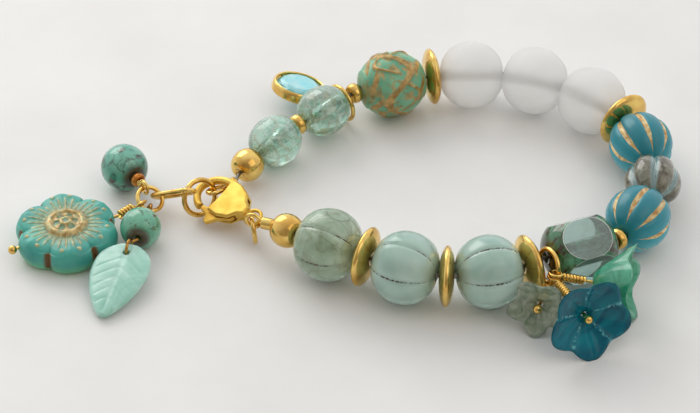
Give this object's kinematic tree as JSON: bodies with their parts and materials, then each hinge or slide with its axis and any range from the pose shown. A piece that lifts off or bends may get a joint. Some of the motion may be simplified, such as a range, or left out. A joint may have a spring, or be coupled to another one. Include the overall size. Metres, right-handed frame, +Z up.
{
  "type": "beaded bracelet",
  "caption": "Closed bracelet of glass beads and gold-coloured metal with a lobster clasp, an extender with charms, bell flowers and a set stone.",
  "frame": {"origin": "centre of the bounding box's base, on the surface that the bracelet lies on", "axes": "+X from the charms along the loop's long way, +Z up from the surface"},
  "size_m": [0.112, 0.0742, 0.0126],
  "materials": {
    "gold": "polished gold-coloured plating",
    "satin_gold": "satin gold-coloured plating",
    "steel_wire": "fine coated steel beading wire",
    "sea_green_glass": "translucent sea-green pressed glass with brown speckled grooves",
    "speckled_green_glass": "polished green glass with brown mottling",
    "matte_teal_glass": "satin teal glass with cream and gold wash in the grooves",
    "bronze_glass": "clear glass with a bronze coat",
    "frosted_glass": "frosted clear glass",
    "patina_glass": "matt green glass with copper-coloured relief",
    "crackle_glass": "clear pale green crackle glass",
    "smoky_glass": "smoky grey-green streaked glass",
    "blue_glass": "deep teal-blue clear glass",
    "opaque_green_glass": "opaque jade-green glass",
    "turquoise_glass": "green opaque glass with brown at its holes",
    "coin_glass": "satin teal-green glass with gold wash",
    "leaf_glass": "opaque pale green glass",
    "aqua_crystal": "clear aqua cut crystal"
  },
  "bodies": {
    "strand": {"gold_bead_1": "gold", "melon_bead_1": "sea_green_glass", "gold_disc_1": "gold", "melon_bead_2": "sea_green_glass", "gold_disc_2": "gold", "melon_bead_3": "sea_green_glass", "gold_disc_3": "gold", "faceted_bead": "speckled_green_glass", "gold_spacer_1": "gold", "teal_melon_bead_1": "matte_teal_glass", "fluted_bead": "bronze_glass", "teal_melon_bead_2": "matte_teal_glass", "gold_disc_4": "gold", "frosted_bead_1": "frosted_glass", "frosted_bead_2": "frosted_glass", "frosted_bead_3": "frosted_glass", "gold_disc_5": "gold", "relief_bead": "patina_glass", "gold_spacer_2": "gold", "crackle_bead_1": "crackle_glass", "gold_spacer_3": "gold", "crackle_bead_2": "crackle_glass", "gold_bead_2": "gold", "crimp_tube_front": "gold", "wire_guard_front": "gold", "crimp_tube_back": "gold", "wire_guard_back": "gold", "beading_wire": "steel_wire", "clasp_jump_ring": "gold", "hook_ring": "gold", "charm_ring": "gold", "flower_ring": "gold", "oval_link": "gold", "clasp_body": "satin_gold", "star_flower": "smoky_glass", "star_flower_pin": "gold", "blue_flower": "blue_glass", "blue_flower_pin": "gold", "bell_flower": "opaque_green_glass", "bell_flower_pin": "gold", "capped_bead": "turquoise_glass", "bead_cap": "gold", "capped_bead_pin": "gold", "flower_coin": "coin_glass", "flower_coin_pin": "gold", "eye_pin_bead": "turquoise_glass", "leaf_eye_pin": "gold", "leaf": "leaf_glass", "stone_ring": "gold", "stone_setting": "gold", "aqua_stone": "aqua_crystal"},
    "lever": {"clasp_lever": "satin_gold"}
  },
  "joints": [
    {"name": "clasp_lever_hinge", "type": "hinge", "parent": "strand", "child": "lever", "pos_m": [-0.01988, -0.00419, 0.00298], "axis": [0.267, 0.216, -0.9392], "range_deg": [0, 20], "stiffness_Nm_per_rad": 0.001, "springref_deg": -11.46}
  ]
}
